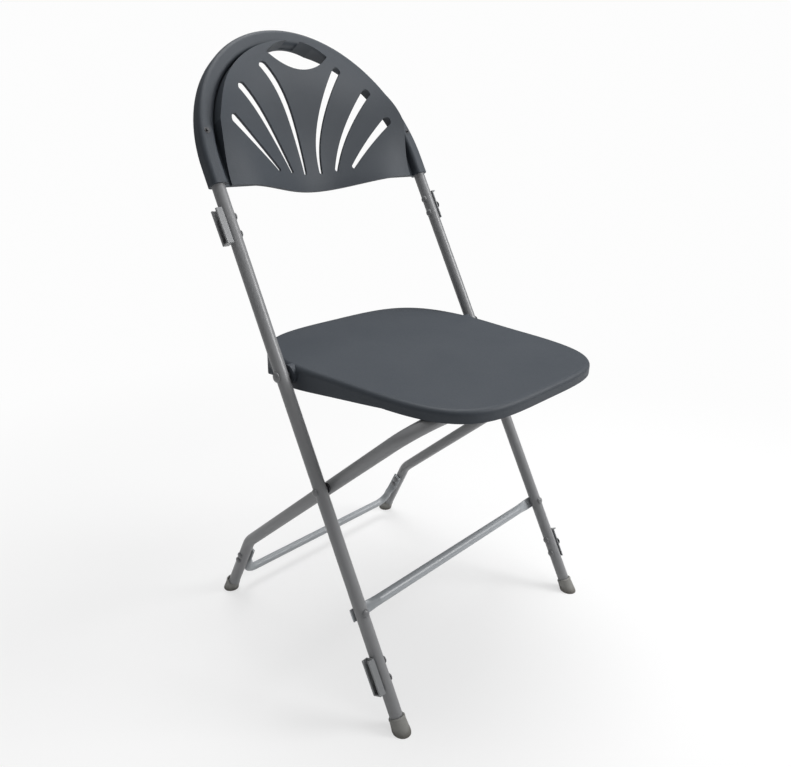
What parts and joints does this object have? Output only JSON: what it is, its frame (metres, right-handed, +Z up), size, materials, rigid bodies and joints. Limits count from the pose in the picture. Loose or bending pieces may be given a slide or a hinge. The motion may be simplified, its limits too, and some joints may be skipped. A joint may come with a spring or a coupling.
{
  "type": "folding chair",
  "caption": "Folding chair: leaning bent-tube frame, fan-slotted moulded back, moulded seat, rear legs on crossing pivots, and link fittings.",
  "frame": {"origin": "on the floor, under the middle of the open chair's bounding box", "axes": "+Z up, the chair faces -Y, +X is the sitter's left"},
  "size_m": [0.449, 0.5148, 0.8807],
  "materials": {
    "moulded_plastic": "fine-grained charcoal blue-grey",
    "frame_paint": "mid-grey powder coat, satin",
    "crossbar_paint": "grey powder coat, satin",
    "link_paint": "grey powder coat, satin",
    "foot_plastic": "warm grey moulded cap",
    "fastener_steel": "dull zinc plate",
    "rail_steel": "pressed sheet, dull",
    "spacer_nylon": "dark nylon"
  },
  "bodies": {
    "frame": {"frame_tube": "frame_paint", "front_crossbar": "crossbar_paint", "crossbar_rivets": "fastener_steel", "back_shell": "moulded_plastic", "back_screws": "fastener_steel", "cross_pin_left": "fastener_steel", "cross_pin_right": "fastener_steel", "leg_spacer_left": "spacer_nylon", "leg_spacer_right": "spacer_nylon", "seat_pin_left": "fastener_steel", "seat_pin_right": "fastener_steel", "front_foot_left": "foot_plastic", "front_foot_right": "foot_plastic", "link_socket_upper": "link_paint", "link_socket_lower": "link_paint", "link_plate_upper": "link_paint", "link_plate_lower": "link_paint", "link_stud_upper": "fastener_steel", "link_stud_lower": "fastener_steel", "link_rivets": "fastener_steel"},
    "rear_legs": {"rear_leg_tube": "frame_paint", "rear_crossbar": "crossbar_paint", "rear_bar_rivets": "fastener_steel", "rear_foot_left": "foot_plastic", "rear_foot_right": "foot_plastic"},
    "seat": {"seat_pan": "moulded_plastic", "slide_rail_left": "rail_steel", "slide_rail_right": "rail_steel", "rail_screws": "fastener_steel"}
  },
  "joints": [
    {"name": "seat_fold", "type": "hinge", "parent": "frame", "child": "seat", "pos_m": [0, 0.02513, 0.43589], "axis": [-1, 0, 0], "range_deg": [0, 115.68]},
    {"name": "rear_leg_fold", "type": "hinge", "parent": "frame", "child": "rear_legs", "pos_m": [0, -0.04727, 0.29489], "axis": [-1, 0, 0], "range_deg": [0, 65.8]}
  ],
  "couplings": [
    {"joint": "rear_leg_fold", "follows": "seat_fold", "ratio": 0.56855}
  ]
}
